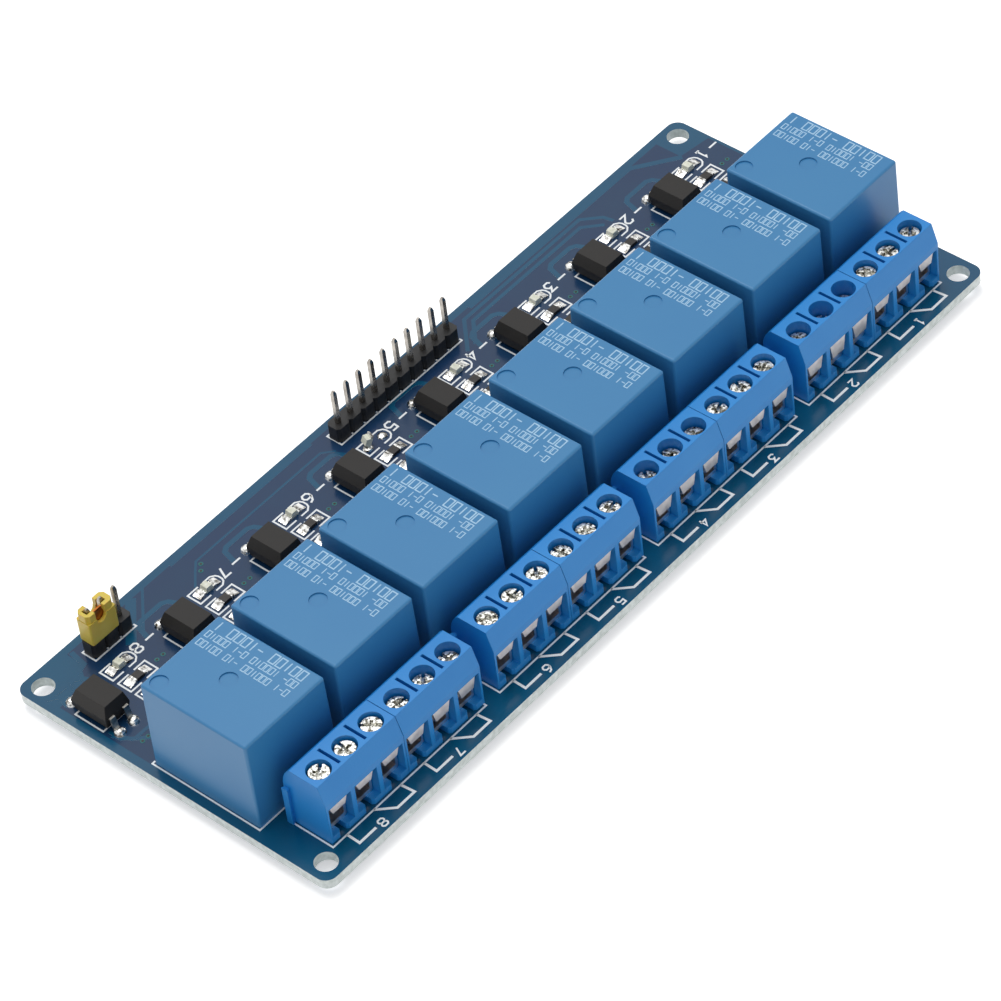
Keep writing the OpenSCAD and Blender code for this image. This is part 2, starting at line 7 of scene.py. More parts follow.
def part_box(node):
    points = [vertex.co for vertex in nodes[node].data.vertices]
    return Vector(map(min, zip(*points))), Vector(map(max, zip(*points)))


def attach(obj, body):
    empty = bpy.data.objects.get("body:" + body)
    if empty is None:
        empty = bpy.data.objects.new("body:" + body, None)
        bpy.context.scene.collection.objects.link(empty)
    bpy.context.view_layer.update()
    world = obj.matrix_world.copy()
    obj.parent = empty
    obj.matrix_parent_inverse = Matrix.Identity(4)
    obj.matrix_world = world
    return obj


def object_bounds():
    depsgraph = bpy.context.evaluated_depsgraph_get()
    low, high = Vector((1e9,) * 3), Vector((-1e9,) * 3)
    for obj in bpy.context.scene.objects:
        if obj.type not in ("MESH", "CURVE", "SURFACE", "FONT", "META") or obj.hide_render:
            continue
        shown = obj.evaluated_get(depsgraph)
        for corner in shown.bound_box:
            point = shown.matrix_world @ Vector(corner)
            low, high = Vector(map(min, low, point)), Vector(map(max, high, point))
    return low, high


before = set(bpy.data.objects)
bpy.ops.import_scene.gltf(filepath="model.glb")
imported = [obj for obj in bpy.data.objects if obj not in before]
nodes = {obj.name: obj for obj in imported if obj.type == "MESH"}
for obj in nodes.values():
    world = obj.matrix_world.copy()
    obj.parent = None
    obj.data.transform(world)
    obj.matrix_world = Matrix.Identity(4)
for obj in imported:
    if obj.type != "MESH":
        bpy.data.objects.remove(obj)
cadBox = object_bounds()
mm = 0.001
channels = range(1, 9)
print("frame loaded,", len(nodes), "nodes")


# places on the board, all in mm

def boxMm(name):
    low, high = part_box(name)
    return np.array(low) / mm, np.array(high) / mm


boardLow, boardHigh = boxMm("circuit_board")
boardTop = boardHigh[2]
boardUnder = boardLow[2]
relayBoxes = {ch: boxMm("relay_%d" % ch) for ch in channels}
relayX = {ch: (relayBoxes[ch][0][0] + relayBoxes[ch][1][0]) / 2 for ch in channels}
relayTop = relayBoxes[1][1][2]
terminalBoxes = {ch: boxMm("terminal_housing_%d" % ch) for ch in channels}
inputBox = boxMm("input_header_strip")
supplyBox = boxMm("supply_header_strip")
optoBoxes = {ch: boxMm("optocoupler_%d" % ch) for ch in channels}
optoX = {ch: (optoBoxes[ch][0][0] + optoBoxes[ch][1][0]) / 2 for ch in channels}
optoY = (optoBoxes[1][0][1] + optoBoxes[1][1][1]) / 2


# colours and materials

def srgb(code, alpha=1.0):  # hex colour to linear light
    raw = np.array([int(code[i:i + 2], 16) for i in (1, 3, 5)]) / 255
    lin = np.where(raw <= 0.04045, raw / 12.92, ((raw + 0.055) / 1.055) ** 2.4)
    return (*lin.tolist(), alpha)


def addNode(tree, kind, settings=None, links=None):  # one node, its settings by name, its inputs from sockets
    made = tree.nodes.new(kind)
    for key, value in (settings or {}).items():
        if isinstance(key, str) and hasattr(made, key):
            setattr(made, key, value)
        else:
            made.inputs[key].default_value = value
    for key, source in (links or {}).items():
        tree.links.new(source, made.inputs[key])
    return made


def rampOf(tree, source, stops):  # a colour ramp with its stops as (position, colour)
    made = addNode(tree, "ShaderNodeValToRGB", None, {"Fac": source})
    points = made.color_ramp.elements
    while len(points) < len(stops):
        points.new(0.5)
    for point, (at, colour) in zip(points, stops):
        point.position = at
        point.color = colour
    return made


def speckled(tree, look, place, skin):
    # pale specks: dots of radius speckSize at the middles of cells about speckMm apart, in speckShare of them
    cells = addNode(tree, "ShaderNodeTexVoronoi", {"Scale": 1 / (look["speckMm"] * mm)}, {"Vector": place})
    reach = look["speckSize"] / look["speckMm"]
    near = addNode(tree, "ShaderNodeMath", {"operation": "LESS_THAN", 1: reach}, {0: cells.outputs["Distance"]})
    pick = addNode(tree, "ShaderNodeSeparateColor", None, {"Color": cells.outputs["Color"]})
    some = addNode(tree, "ShaderNodeMath", {"operation": "LESS_THAN", 1: look["speckShare"]},
                   {0: pick.outputs["Red"]})
    both = addNode(tree, "ShaderNodeMath", {"operation": "MULTIPLY"},
                   {0: near.outputs[0], 1: some.outputs[0]})
    mix = addNode(tree, "ShaderNodeMix", {"data_type": "RGBA"}, {"Factor": both.outputs[0]})
    tree.links.new(skin, mix.inputs[6])
    mix.inputs[7].default_value = srgb(look["speck"])
    return mix.outputs[2]


def surfaceNormal(tree, look, place):
    # edges rounded over edgeMm, then a grain of grainMm that is 0.3 of its own size deep
    normal = None
    if look.get("edgeMm"):  # moulded edges are never quite sharp
        bevel = addNode(tree, "ShaderNodeBevel", {"samples": 3, "Radius": look["edgeMm"] * mm})
        normal = bevel.outputs["Normal"]
    if look.get("grainMm"):
        grain = addNode(tree, "ShaderNodeTexNoise",
                        {"Scale": 1 / (look["grainMm"] * mm), "Detail": 2.0}, {"Vector": place})
        depth = look["grainMm"] * mm * 0.3
        bump = addNode(tree, "ShaderNodeBump", {"Strength": look["bump"], "Distance": depth},
                       {"Height": grain.outputs["Fac"]})
        if normal:
            tree.links.new(normal, bump.inputs["Normal"])
        normal = bump.outputs["Normal"]
    return normal


def newMaterial(name, look):
    # a Principled surface: a noise of blotchMm mixes colour into colour2 and moves the roughness with it
    made = bpy.data.materials.new(name)
    made.use_nodes = True
    tree = made.node_tree
    shader = tree.nodes["Principled BSDF"]
    for key, value in look.get("shader", {}).items():
        shader.inputs[key].default_value = value
    place = addNode(tree, "ShaderNodeTexCoord").outputs["Object"]
    blotch = addNode(tree, "ShaderNodeTexNoise",
                     {"Scale": 1 / (look["blotchMm"] * mm), "Detail": 3.0}, {"Vector": place})
    low, high = look.get("between", (0.3, 0.75))
    colour = rampOf(tree, blotch.outputs["Fac"], [(low, srgb(look["colour"])), (high, srgb(look["colour2"]))])
    skin = colour.outputs["Color"]
    if look.get("speck"):
        skin = speckled(tree, look, place, skin)
    tree.links.new(skin, shader.inputs["Base Color"])
    smooth, rough = look["rough"]
    gloss = addNode(tree, "ShaderNodeMapRange", {"To Min": smooth, "To Max": rough},
                    {"Value": blotch.outputs["Fac"]})
    tree.links.new(gloss.outputs["Result"], shader.inputs["Roughness"])
    normal = surfaceNormal(tree, look, place)
    if normal:
        tree.links.new(normal, shader.inputs["Normal"])
    return made, tree, shader, place


looks = {
    # gloss solder mask on glass laminate: deep teal, dusted with pale specks
    "maskedLaminate": {"colour": "#055273", "colour2": "#054a6c", "blotchMm": 9, "rough": (0.14, 0.24),
                       "grainMm": 0.5, "bump": 0.06, "speck": "#dfe8ec", "speckMm": 2.6, "speckSize": 0.1,
                       "speckShare": 0.16},
    # the same mask over copper foil: greyer and darker
    "maskOverCopper": {"colour": "#163a5c", "colour2": "#113258", "blotchMm": 7, "rough": (0.14, 0.24),
                       "grainMm": 0.5, "bump": 0.06, "speck": "#cfdbe2", "speckMm": 3.4, "speckSize": 0.1,
                       "speckShare": 0.1},
    # mask drawn thin over the rim of a plated hole: greener
    "tentedVia": {"colour": "#0d5d62", "colour2": "#1d7a78", "blotchMm": 0.3, "rough": (0.15, 0.25)},
    # painted shade: near black discs stand for the shaded depth of a plated hole
    "viaShadow": {"colour": "#040608", "colour2": "#0a0e10", "blotchMm": 0.2, "rough": (0.4, 0.6)},
    # PBT relay covers: satin, very slightly uneven gloss, a few rubbed specks
    "relayPbt": {"colour": "#377fb2", "colour2": "#327bb0", "blotchMm": 14, "rough": (0.32, 0.42),
                 "grainMm": 0.25, "bump": 0.08, "speck": "#8fb8d8", "speckMm": 3.1, "speckSize": 0.09,
                 "speckShare": 0.12},
    # PA66 terminal blocks: brighter blue, satin with a soft sheen and slightly round edges
    "terminalNylon": {"colour": "#1f8ad6", "colour2": "#1b84d1", "blotchMm": 8, "rough": (0.3, 0.42),
                      "grainMm": 0.3, "bump": 0.1, "edgeMm": 0.12},
    # black transfer-moulded epoxy: matt, faintly brown
    "opticalEpoxy": {"colour": "#1b1917", "colour2": "#23201e", "blotchMm": 1.5, "rough": (0.5, 0.62),
                     "grainMm": 0.12, "bump": 0.3, "edgeMm": 0.1, "shader": {"Specular IOR Level": 0.35}},
    # the same epoxy on the transistors and diodes: greyer, finer grain
    "chipEpoxy": {"colour": "#1c1b1b", "colour2": "#242322", "blotchMm": 1, "rough": (0.45, 0.6),
                  "grainMm": 0.1, "bump": 0.3},
    # black header nylon: satin, scuffed
    "headerNylon": {"colour": "#161617", "colour2": "#262627", "blotchMm": 0.9, "rough": (0.36, 0.52),
                    "grainMm": 0.2, "bump": 0.25, "edgeMm": 0.1, "shader": {"Specular IOR Level": 0.4}},
    # tin plate on leads and tails: grey white metal, dull
    "tinPlate": {"colour": "#8d8a83", "colour2": "#c9c7c1", "blotchMm": 0.7, "rough": (0.28, 0.42),
                 "grainMm": 0.15, "bump": 0.1, "shader": {"Metallic": 1.0}},
    # nickel plate on the terminal cages: a bright, slightly warm mirror
    "nickelPlate": {"colour": "#e0d5d1", "colour2": "#f4eeea", "blotchMm": 1.2, "rough": (0.24, 0.36),
                    "grainMm": 0.2, "bump": 0.1, "shader": {"Metallic": 1.0}},
    # zinc plated screw heads, rough from cold heading: bright, with painted shade, dark grey blotches standing
    # for shaded pits
    "platedScrewPaintedShade": {"colour": "#5e5b52", "colour2": "#f2f1ea", "between": (0.4, 0.55), "blotchMm": 0.45,
                    "rough": (0.22, 0.36), "grainMm": 0.3, "bump": 0.5, "shader": {"Metallic": 1.0}},
    # tin on the square header pins: darker, with long soft reflections
    "headerPinTin": {"colour": "#8a847d", "colour2": "#c4beb6", "blotchMm": 1.2, "rough": (0.2, 0.32),
                     "shader": {"Metallic": 1.0}},
    # lumpy grey solder with painted glints: white patches in its colour stand for highlights
    "solderWithPaintedGlints": {"colour": "#76726c", "colour2": "#f6f6f3", "between": (0.35, 0.58), "blotchMm": 0.6,
                     "rough": (0.18, 0.32), "grainMm": 0.4, "bump": 0.4, "shader": {"Metallic": 1.0}},
    # yellow jumper nylon, slightly translucent
    "jumperNylon": {"colour": "#dcc04a", "colour2": "#e2c957", "blotchMm": 2, "rough": (0.3, 0.4),
                    "grainMm": 0.25, "bump": 0.1, "edgeMm": 0.12,
                    "shader": {"Subsurface Weight": 0.25, "Subsurface Scale": 0.0008}},
    # the clip in the jumper: orange brown spring metal
    "phosphorBronze": {"colour": "#8a4416", "colour2": "#c98545", "blotchMm": 0.7, "rough": (0.25, 0.4),
                       "shader": {"Metallic": 1.0}},
    # clear cream LED epoxy: pale, wet looking
    "ledEpoxy": {"colour": "#d9dac6", "colour2": "#f3f3e6", "blotchMm": 0.5, "rough": (0.15, 0.3),
                 "grainMm": 0.3, "bump": 0.3},
    # glaze on the chip resistors: black brown, half gloss
    "resistorGlaze": {"colour": "#16120f", "colour2": "#2b2521", "blotchMm": 0.5, "rough": (0.25, 0.4)},
    # epoxy printing inks: matt white on the board, pale blue on the relays
    "boardInk": {"colour": "#eef3f6", "colour2": "#fbfdfd", "blotchMm": 0.6, "rough": (0.45, 0.6),
                 "grainMm": 0.15, "bump": 0.2},
    "relayInk": {"colour": "#93bcdc", "colour2": "#b2d4ec", "blotchMm": 0.8, "rough": (0.45, 0.6),
                 "grainMm": 0.15, "bump": 0.2},
}
edgeLook = {"weaveMm": 0.8, "resin": "#cbd5d2", "glass": "#e9f1f0"}  # pale glass cloth in the board's cut edges
materials = {}
for lookName, look in looks.items():
    materials[lookName], lookTree, lookShader, lookPlace = newMaterial(lookName, look)
    if lookName == "maskedLaminate":  # cut edges and hole walls show the pale glass laminate
        normal = addNode(lookTree, "ShaderNodeNewGeometry").outputs["Normal"]
        upright = addNode(lookTree, "ShaderNodeSeparateXYZ", None, {"Vector": normal}).outputs["Z"]
        flat = addNode(lookTree, "ShaderNodeMath", {"operation": "ABSOLUTE"}, {0: upright}).outputs[0]
        onFace = addNode(lookTree, "ShaderNodeMath", {"operation": "GREATER_THAN", 1: 0.5},
                         {0: flat}).outputs[0]
        weave = addNode(lookTree, "ShaderNodeTexNoise", {"Scale": 1 / (edgeLook["weaveMm"] * mm)},
                        {"Vector": lookPlace})
        edge = rampOf(lookTree, weave.outputs["Fac"],
                      [(0.35, srgb(edgeLook["resin"])), (0.7, srgb(edgeLook["glass"]))])
        mask = lookShader.inputs["Base Color"].links[0].from_socket
        mixed = addNode(lookTree, "ShaderNodeMix", {"data_type": "RGBA"})
        lookTree.links.new(onFace, mixed.inputs["Factor"])
        lookTree.links.new(edge.outputs["Color"], mixed.inputs[6])
        lookTree.links.new(mask, mixed.inputs[7])
        lookTree.links.new(mixed.outputs[2], lookShader.inputs["Base Color"])

nodeLooks = {
    "circuit_board": "maskedLaminate", "relay_pins": "tinPlate", "terminal_cages": "nickelPlate",
    "terminal_pins": "tinPlate", "terminal_leaves": "nickelPlate", "terminal_screws": "platedScrewPaintedShade",
    "optocoupler_leads": "tinPlate", "input_header_strip": "headerNylon", "input_header_pins": "headerPinTin",
    "supply_header_strip": "headerNylon", "supply_header_pins": "headerPinTin", "jumper_cap": "jumperNylon",
    "jumper_clip": "phosphorBronze", "status_leds": "ledEpoxy", "status_led_ends": "solderWithPaintedGlints",
    "chip_resistors": "resistorGlaze", "chip_resistor_ends": "solderWithPaintedGlints", "transistors": "chipEpoxy",
    "transistor_leads": "tinPlate", "diodes": "chipEpoxy", "diode_tabs": "tinPlate",
    "pin_solder_joints": "solderWithPaintedGlints", "surface_solder_joints": "solderWithPaintedGlints",
}
for ch in channels:
    nodeLooks["relay_%d" % ch] = "relayPbt"
    nodeLooks["terminal_housing_%d" % ch] = "terminalNylon"
    nodeLooks["optocoupler_%d" % ch] = "opticalEpoxy"
for name, node in nodes.items():
    node.data.materials.clear()
    node.data.materials.append(materials[nodeLooks[name]])
print("materials made,", len(materials))


# thin printed and etched shapes

def addPiece(name, verts, faces, body, lookName):
    mesh = bpy.data.meshes.new(name)
    mesh.from_pydata((verts * mm).tolist(), [], faces)
    mesh.materials.append(materials[lookName])
    mesh.update()
    made = bpy.data.objects.new(name, mesh)
    bpy.context.scene.collection.objects.link(made)
    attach(made, body)
    return made


def strokeBand(points, width, low, high):
    # a flat band along a run of points: each corner is mitred, its two sides at half the width
    # along m = (nA + nB) / (1 + nA.nB), where nA and nB are the normals of the two runs that meet there
    points = np.asarray(points, float)
    closed = np.allclose(points[0], points[-1])
    if closed:
        points = points[:-1]
    following = np.roll(points, -1, 0) - points
    if not closed:
        following[-1] = following[-2]
    following /= np.linalg.norm(following, axis=1, keepdims=True)
    normal = np.stack([-following[:, 1], following[:, 0]], 1)
    before = np.roll(normal, 1, 0)
    if not closed:
        before[0] = normal[0]
    mitre = (normal + before) / np.maximum(1 + (normal * before).sum(1, keepdims=True), 0.3)
    left, right = points + mitre * width / 2, points - mitre * width / 2
    count = len(points)
    flat = np.concatenate([left, right, left, right])
    height = np.repeat([high, low], 2 * count)
    verts = np.column_stack([flat, height])
    a = np.arange(count if closed else count - 1)
    b = (a + 1) % count
    faces = np.concatenate([
        np.stack([a, a + count, b + count, b], 1),                                # top
        np.stack([a + 2 * count, b + 2 * count, b + 3 * count, a + 3 * count], 1),  # underside
        np.stack([a, b, b + 2 * count, a + 2 * count], 1),                        # left side
        np.stack([a + count, a + 3 * count, b + 3 * count, b + count], 1)])       # right side
    if not closed:
        e = count - 1
        ends = np.array([[0, 2 * count, 3 * count, count], [e, e + count, e + 3 * count, e + 2 * count]])
        faces = np.concatenate([faces, ends])
    return verts, faces


def strokePiece(name, runs, low, high, body, lookName):  # runs: list of (points, width)
    allVerts, allFaces, start = [], [], 0
    for points, width in runs:
        verts, faces = strokeBand(points, width, low, high)
        allVerts.append(verts)
        allFaces.append(faces + start)
        start += len(verts)
    faces = np.concatenate(allFaces).tolist()
    return addPiece(name, np.concatenate(allVerts), faces, body, lookName)


def slabPiece(name, outlines, low, high, body, lookName):  # flat plates from anticlockwise outlines
    allVerts, allFaces, start = [], [], 0
    for outline in outlines:
        outline = np.asarray(outline, float)
        count = len(outline)
        a = np.arange(count)
        b = (a + 1) % count
        verts = np.concatenate([np.column_stack([outline, np.full(count, high)]),
                                np.column_stack([outline, np.full(count, low)])])
        allVerts.append(verts)
        allFaces += [(a + start).tolist(), (a[::-1] + count + start).tolist()]
        allFaces += (np.stack([a, a + count, b + count, b], 1) + start).tolist()
        start += 2 * count
    return addPiece(name, np.concatenate(allVerts), allFaces, body, lookName)


def arcPoints(x, y, r, fromDeg, toDeg, count=12):  # points on a circle: x + r cos t, y + r sin t
    t = np.radians(np.linspace(fromDeg, toDeg, count))
    return np.column_stack([x + r * np.cos(t), y + r * np.sin(t)])


# plain digits as runs of points in a unit box
digitRuns = {
    "1": [[(0.25, 0.8), (0.5, 1), (0.5, 0)], [(0.2, 0), (0.8, 0)]],
    "2": [[(0, 0.78), (0.22, 1), (0.78, 1), (1, 0.78), (1, 0.6), (0, 0), (1, 0)]],
    "3": [[(0, 1), (1, 1), (0.45, 0.58), (0.78, 0.58), (1, 0.36), (1, 0.2), (0.78, 0), (0.22, 0), (0, 0.2)]],
    "4": [[(0.75, 0), (0.75, 1), (0, 0.32), (1, 0.32)]],
    "5": [[(0.95, 1), (0.1, 1), (0.05, 0.56), (0.75, 0.6), (1, 0.4), (1, 0.2), (0.78, 0), (0.2, 0),
           (0, 0.18)]],
    "6": [[(0.85, 1), (0.4, 0.9), (0, 0.5), (0, 0.2), (0.22, 0), (0.78, 0), (1, 0.2), (1, 0.36),
           (0.78, 0.56), (0.22, 0.56), (0, 0.38)]],
    "7": [[(0, 1), (1, 1), (0.35, 0)]],
    "8": [[(0.22, 0.52), (0, 0.7), (0, 0.84), (0.22, 1), (0.78, 1), (1, 0.84), (1, 0.7), (0.78, 0.52),
           (0.22, 0.52), (0, 0.34), (0, 0.17), (0.22, 0), (0.78, 0), (1, 0.17), (1, 0.34), (0.78, 0.52)]],
}


def offsetRun(x, y, offsets):
    return [(x + dx, y + dy) for dx, dy in offsets]


def digitAt(digit, x, y, wide, tall, turn, width):  # centred at x, y, turned by quarter turns
    c, s = round(math.cos(math.radians(turn))), round(math.sin(math.radians(turn)))
    runs = []
    for run in digitRuns[digit]:
        p = (np.array(run) - 0.5) * (wide, tall)
        runs.append((np.column_stack([x + c * p[:, 0] - s * p[:, 1], y + s * p[:, 0] + c * p[:, 1]]), width))
    return runs


# copper under the solder mask, and plated holes

copperLook = {
    "sink": 0.02, "step": 0.008,  # how deep a piece starts in the board, and how far one lies over the next
    "rim": (-68.1, 69.0, -13.6, 27.1),
    # the pour stops short of two mounting holes: steps from its back corners
    "rightCorner": [(0, -5.4), (-5.4, -4.6), (-5.4, 0)],
    "leftCorner": [(7.4, 0), (7.4, -2.5), (5.6, -5.2), (0, -6.0)],
    "gaps": [  # bare laminate between the copper areas: run of points, width
        ([(-54.3, 21.2), (-48.2, 27.2)], 1.5), ([(-52.2, 20.9), (-45.6, 27.5)], 0.4),
        ([(14.6, 21.2), (19.2, 25.9), (44.6, 25.9), (47.0, 23.4), (47.3, 21.7)], 0.6),
        ([(16.4, 21.3), (19.8, 24.7), (43.4, 24.7), (45.9, 22.2)], 0.6),
        ([(21.5, 27.0), (52.0, 27.0), (57.2, 27.0), (63.6, 22.2)], 0.9),
        ([(-67.6, 12.0), (-66.4, 9.4), (-63.8, 6.6), (-63.2, 4.6)], 0.7),
        ([(-66.0, 21.6), (-64.2, 23.0), (-60.6, 24.0), (-60.1, 26.9)], 0.8),
        ([(-41.5, 21.4), (-39.4, 23.4), (-37.9, 24.7), (-12.6, 24.7), (-11.0, 23.2)], 0.35),
        ([(-40.6, 27.0), (-30.0, 27.0), (-12.0, 27.0)], 0.5),
    ],
    # an arch of bare laminate behind each optocoupler and a line before it: steps from a point
    # beside its middle, then from the middle itself
    "beside": 3.9, "archWidth": 0.8, "lineWidth": 0.55,
    "archSide": [(0, 4.4), (0.6, 6.7)], "archEnd": [(-2.5, 7.2), (1.7, 7.2), (2.5, 6.7), (3.0, 5.6)],
    "lineSide": [(0, -3.2), (0, -5.4), (1.3, -6.8)], "lineEnd": [(2.4, -6.8)],
    # plated holes: steps from each relay's middle, and two by themselves
    "viaHole": 0.19, "viaRing": 0.36, "viaOffsets": [(5.8, 16.5), (7.0, 16.5), (-5.85, 8.0), (-4.75, 8.0)],
    "viasAlone": [(-38.8, 22.9), (-37.85, 23.8)],
}


def drawCopper(look):
    x0, x1, y0, y1 = look["rim"]
    low, step = boardTop - look["sink"], look["step"]
    outline = [(x1, y0)] + offsetRun(x1, y1, look["rightCorner"]) + offsetRun(x0, y1, look["leftCorner"])
    outline.append((x0, y0))
    slabPiece("copper_pour", [outline], low, boardTop + step, "board", "maskOverCopper")
    strokePiece("mask_gaps", look["gaps"], low, boardTop + 2 * step, "board", "maskedLaminate")
    runs = []
    for ch in channels:
        x, y = optoX[ch], optoY
        left = max(x - look["beside"], x0 + look["archWidth"])
        arch = offsetRun(left, y, look["archSide"]) + offsetRun(x, y, look["archEnd"])
        line = offsetRun(left, y, look["lineSide"]) + offsetRun(x, y, look["lineEnd"])
        runs += [(arch, look["archWidth"]), (line, look["lineWidth"])]
    strokePiece("mask_arches", runs, low, boardTop + 3 * step, "board", "maskedLaminate")
    places = list(look["viasAlone"])
    for ch in channels:
        places += offsetRun(relayX[ch], 0, look["viaOffsets"])
    rings = [arcPoints(x, y, look["viaRing"], 0, 330) for x, y in places]
    holes = [arcPoints(x, y, look["viaHole"], 0, 330) for x, y in places]
    slabPiece("via_rings", rings, low, boardTop + 4 * step, "board", "tentedVia")
    # near black discs on the board, painted shade standing in for the dark inside of each plated hole
    slabPiece("via_hole_shades", holes, low, boardTop + 5 * step, "board", "viaShadow")


drawCopper(copperLook)
print("copper drawn")


# white print on the board

inkThick = 0.03

channelPrint = {  # steps are from the middle of the channel's relay
    "line": 0.26, "relaySide": 7.95, "relayFront": -15.1, "relayBack": 4.2, "relayHook": 0.55,
    "optoLeft": -7.75, "optoLow": 13.4, "optoHigh": 18.6, "optoHook": 1.1, "optoFoot": 4.4,
    "chipX": (-0.45, 4.7), "chipGap": (1.6, 2.6),  # the ends of a chip's frame, and the gap in its middle
    "ledY": (18.65, 21.15), "ledRound": [(-0.8, 0), (-0.2, 0.45), (0, 0.9)],
    "resistorY": [(15.3, 17.75), (12.1, 14.5)],
    "digitX": 5.7, "digitY": 20.2, "digitSize": (1.2, 1.8), "digitLine": 0.3, "bar": (9.0, 7.4),
}


def channelPrintRuns(look, ch):
    x, w = relayX[ch], look["line"]
    left, right = x - look["relaySide"], x + look["relaySide"]
    front, back, hook = look["relayFront"], look["relayBack"], look["relayHook"]
    runs = [([(left + hook, back), (left, back), (left, front), (right, front), (right, back),
              (right - hook, back)], w)]
    left, low, high = x + look["optoLeft"], look["optoLow"], look["optoHigh"]
    runs.append(([(left + look["optoHook"], high), (left, high), (left, low),
                  (left + look["optoFoot"], low)], w))
    x0, x1 = x + look["chipX"][0], x + look["chipX"][1]
    near, far = x + look["chipGap"][0], x + look["chipGap"][1]
    low, high = look["ledY"]  # the LED's frame is square at one end and round at the other
    runs.append(([(near, low), (x0, low), (x0, high), (near, high)], w))
    bend = look["ledRound"]
    runs.append(([(far, low)] + offsetRun(x1, low, bend)
                 + offsetRun(x1, high, [(dx, -dy) for dx, dy in bend[::-1]]) + [(far, high)], w))
    for low, high in look["resistorY"]:
        runs.append(([(near, low), (x0, low), (x0, high), (near, high)], w))
        runs.append(([(far, low), (x1, low), (x1, high), (far, high)], w))
    # channel number, read from the input side, with a plain bar beside it
    y = look["digitY"]
    runs += digitAt(str(ch), x + look["digitX"], y, *look["digitSize"], 180, look["digitLine"])
    runs.append(([(x + step, y) for step in look["bar"]], look["digitLine"]))
    return runs


terminalPrint = {
    "line": 0.26, "symbolLine": 0.38, "front": 0.45,  # how far the long line lies before the blocks
    "halfBlock": 7.5, "pairLong": 30, "hook": 7.9, "pairOverhang": 7.5,
    "arm": [(5.3, 0), (5.5, -2.25), (2.16, -2.25), (0.06, 0)],
    "leg": [(-5.1, 0), (-5.16, -2.25), (-2.0, -2.25)],
    "digitX": -0.8, "digitY": -2.35, "digitSize": (0.95, 1.35), "digitLine": 0.255,
}


def terminalPrintRuns(look):
    runs = []
    for pair in range(4):  # two blocks share one long line with a hook at each end
        first, second = terminalBoxes[8 - 2 * pair], terminalBoxes[7 - 2 * pair]
        end = (second[0][0] + second[1][0]) / 2 + look["pairOverhang"]
        start = end - look["pairLong"]
        y = first[0][1] - look["front"]
        back = y + look["hook"]
        runs.append(([(start, back), (start, y), (end, y), (end, back)], look["line"]))
    for ch in channels:  # a changeover contact: the arm slants in from the middle, the leg stands at one side
        x = terminalBoxes[ch][1][0] - look["halfBlock"]
        y = terminalBoxes[ch][0][1] - look["front"]
        runs.append((offsetRun(x, y, look["arm"]), look["symbolLine"]))
        runs.append((offsetRun(x, y, look["leg"]), look["symbolLine"]))
        runs += digitAt(str(ch), x + look["digitX"], y + look["digitY"], *look["digitSize"], 180,
                        look["digitLine"])
    return runs


headerPrint = {"line": 0.26, "pinPitch": 2.54, "tick": 0.45}


def headerPrintRuns(look):
    w, tick = look["line"], look["tick"]
    (x0, y0, _), (x1, y1, _) = inputBox
    y = y0 - 0.2
    runs = [([(x0 + 0.5, y1 + 0.1), (x0, y1 + 0.1), (x0, y), (x1, y), (x1, y + 0.5)], w)]
    ticks = [x0 + look["pinPitch"] * k for k in range(1, 10)]
    runs += [([(x, y), (x, y + tick)], w) for x in ticks]
    (x0, y0, _), (x1, y1, _) = supplyBox
    y = y0 - 0.15
    runs.append(([(x0 + 0.45, y1 - 0.1), (x0 - 0.1, y1 - 0.1), (x0 - 0.1, y), (x1 + 0.1, y),
                  (x1 + 0.1, y + 0.55)], w))
    ticks = [x0 + look["pinPitch"] * k for k in (1, 2)]
    runs += [([(x, y), (x, y + tick)], w) for x in ticks]
    return runs


def printOnBoard(name, runs):
    strokePiece(name, runs, boardTop, boardTop + inkThick, "board", "boardInk")


channelRuns = []
for ch in channels:
    channelRuns += channelPrintRuns(channelPrint, ch)
printOnBoard("board_print", channelRuns)
printOnBoard("terminal_print", terminalPrintRuns(terminalPrint))
printOnBoard("header_print", headerPrintRuns(headerPrint))
print("board print drawn")


# pale print on the relay tops: rows of plain frames, bars and dashes

relayPrint = {
    "sink": 0.02, "thick": 0.01, "start": -13.0, "end": 3.0, "space": 0.14,  # space is a share of one mark
    "rows": [  # across the top from the centre, height, line, marks in each run (0 is a gap)
        {"x": 6.05, "tall": 1.6, "line": 0.2, "cells": [5, 0, 5, 0, 1]},
        {"x": 4.28, "tall": 1.1, "line": 0.15, "cells": [3, 0, 6, 0, 3, 0, 5]},
        {"x": 2.58, "tall": 1.1, "line": 0.15, "cells": [3, 0, 6, 0, 3, 0, 5]},
    ],
}


def relayPrintRuns(look, ch):
    # each mark is the remainder m = (5 m + 3) mod 16 of the one before, which picks its kind
    runs, mark = [], 0
    for row in look["rows"]:
        pitch = (look["end"] - look["start"]) / sum(max(cells, 1) for cells in row["cells"])
        space = pitch * look["space"]
        y = look["start"]
        middle = relayX[ch] + row["x"]
        x0, x1 = middle - row["tall"] / 2, middle + row["tall"] / 2
        for cells in row["cells"]:
            for k in range(cells):
                low, high = y + k * pitch + space, y + (k + 1) * pitch - space
                mark = (mark * 5 + 3) % 16
                if mark % 4 == 1:
                    points = [(x0, (low + high) / 2), (x1, (low + high) / 2)]
                elif mark % 8 == 6:
                    points = [(middle, low), (middle, high)]
                else:
                    points = [(x0, low), (x1, low), (x1, high), (x0, high), (x0, low)]
                runs.append((points, row["line"]))
            y += max(cells, 1) * pitch
    return runs


for ch in channels:
    strokePiece("relay_print_%d" % ch, relayPrintRuns(relayPrint, ch), relayTop - relayPrint["sink"],
                relayTop + relayPrint["thick"], "board", "relayInk")
print("relay print drawn")


# floor, light and camera

floorLook = {"half": 3.0, "colour": "#f3f3f3", "rough": 0.9, "glow": 0.5}


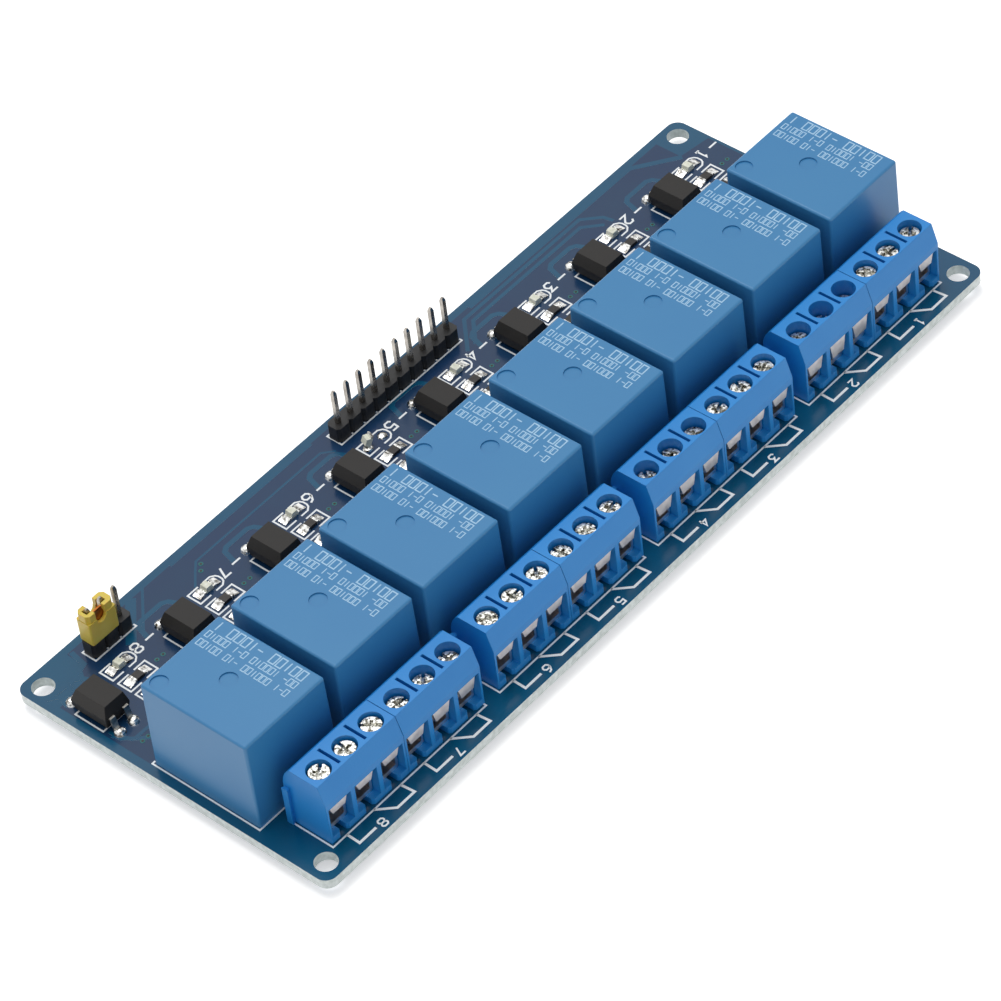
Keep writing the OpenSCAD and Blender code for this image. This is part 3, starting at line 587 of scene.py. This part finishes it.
def addFloor(look):
    mesh = bpy.data.meshes.new("floor")
    z, half = cadBox[0].z, look["half"]
    corners = [(-half, -half, z), (half, -half, z), (half, half, z), (-half, half, z)]
    mesh.from_pydata(corners, [], [(0, 1, 2, 3)])
    made = bpy.data.objects.new("floor", mesh)
    bpy.context.scene.collection.objects.link(made)
    paper = bpy.data.materials.new("palePaper")  # matt white studio paper, lifted a little so it reads white
    paper.use_nodes = True
    tree = paper.node_tree
    shader = tree.nodes["Principled BSDF"]
    shader.inputs["Base Color"].default_value = srgb(look["colour"])
    shader.inputs["Roughness"].default_value = look["rough"]
    shader.inputs["Emission Color"].default_value = srgb("#ffffff")
    seen = addNode(tree, "ShaderNodeLightPath")
    either = addNode(tree, "ShaderNodeMath", {"operation": "MAXIMUM"},
                     {0: seen.outputs["Is Camera Ray"], 1: seen.outputs["Is Glossy Ray"]})
    glow = addNode(tree, "ShaderNodeMath", {"operation": "MULTIPLY", 1: look["glow"]}, {0: either.outputs[0]})
    tree.links.new(glow.outputs[0], shader.inputs["Emission Strength"])
    mesh.materials.append(paper)


lightLook = {  # the sky's strength, and one soft key: where it stands in degrees and metres, its size and watts
    "sky": 0.55, "azimuth": 160, "elevation": 74, "distance": 1.1, "size": (0.6, 0.6), "watts": 5.5,
}


def addWorld(look):  # white where it is seen or mirrored, weaker as a light
    world = bpy.data.worlds.new("studio")
    bpy.context.scene.world = world
    world.use_nodes = True
    tree = world.node_tree
    back = tree.nodes["Background"]
    seen = addNode(tree, "ShaderNodeLightPath")
    shown = addNode(tree, "ShaderNodeMath", {"operation": "MAXIMUM"},
                    {0: seen.outputs["Is Camera Ray"], 1: seen.outputs["Is Transmission Ray"]})
    either = addNode(tree, "ShaderNodeMath", {"operation": "MAXIMUM"},
                     {0: shown.outputs[0], 1: seen.outputs["Is Glossy Ray"]})
    power = addNode(tree, "ShaderNodeMapRange", {"To Min": look["sky"], "To Max": 1.0},
                    {"Value": either.outputs[0]})
    back.inputs["Color"].default_value = srgb("#ffffff")
    tree.links.new(power.outputs["Result"], back.inputs["Strength"])


def wayTo(azimuth, elevation):  # unit vector (sin a cos e, -cos a cos e, sin e)
    return Vector((math.sin(azimuth) * math.cos(elevation), -math.cos(azimuth) * math.cos(elevation),
                   math.sin(elevation)))


def addSoftbox(name, look):
    data = bpy.data.lights.new(name, "AREA")
    data.shape = "RECTANGLE"
    data.size, data.size_y = look["size"]
    data.energy = look["watts"]
    made = bpy.data.objects.new(name, data)
    bpy.context.scene.collection.objects.link(made)
    way = wayTo(math.radians(look["azimuth"]), math.radians(look["elevation"]))
    made.location = way * look["distance"]
    made.rotation_euler = way.to_track_quat("Z", "Y").to_euler()


addFloor(floorLook)
addWorld(lightLook)
addSoftbox("keyBehind", lightLook)

cameraLook = {  # where the camera stands and looks, in mm above the board's underside and degrees
    "azimuth": -43.586, "elevation": 45.365, "roll": -7.876, "distance": 648.667,
    "target": (-7.25, -4.207, 5.0), "lens": 172.33, "sensor": 36, "near": 0.01, "far": 20,
}


def addCamera(look):
    # right and up are level and rise turned by the roll r: right = level cos r + rise sin r
    a, e, r = (math.radians(look[key]) for key in ("azimuth", "elevation", "roll"))
    back = wayTo(a, e)
    level = Vector((math.cos(a), math.sin(a), 0))
    rise = back.cross(level)
    right = level * math.cos(r) + rise * math.sin(r)
    up = rise * math.cos(r) - level * math.sin(r)
    place = (Vector(look["target"]) + Vector((0, 0, boardUnder))) * mm + back * look["distance"] * mm
    data = bpy.data.cameras.new("camera")
    data.sensor_width = look["sensor"]
    data.lens = look["lens"]
    data.clip_start, data.clip_end = look["near"], look["far"]
    made = bpy.data.objects.new("camera", data)
    bpy.context.scene.collection.objects.link(made)
    made.matrix_world = Matrix((
        (right.x, up.x, back.x, place.x), (right.y, up.y, back.y, place.y),
        (right.z, up.z, back.z, place.z), (0, 0, 0, 1)))
    bpy.context.scene.camera = made


addCamera(cameraLook)
bpy.context.scene.view_settings.view_transform = "Standard"
print("floor, light and camera set")
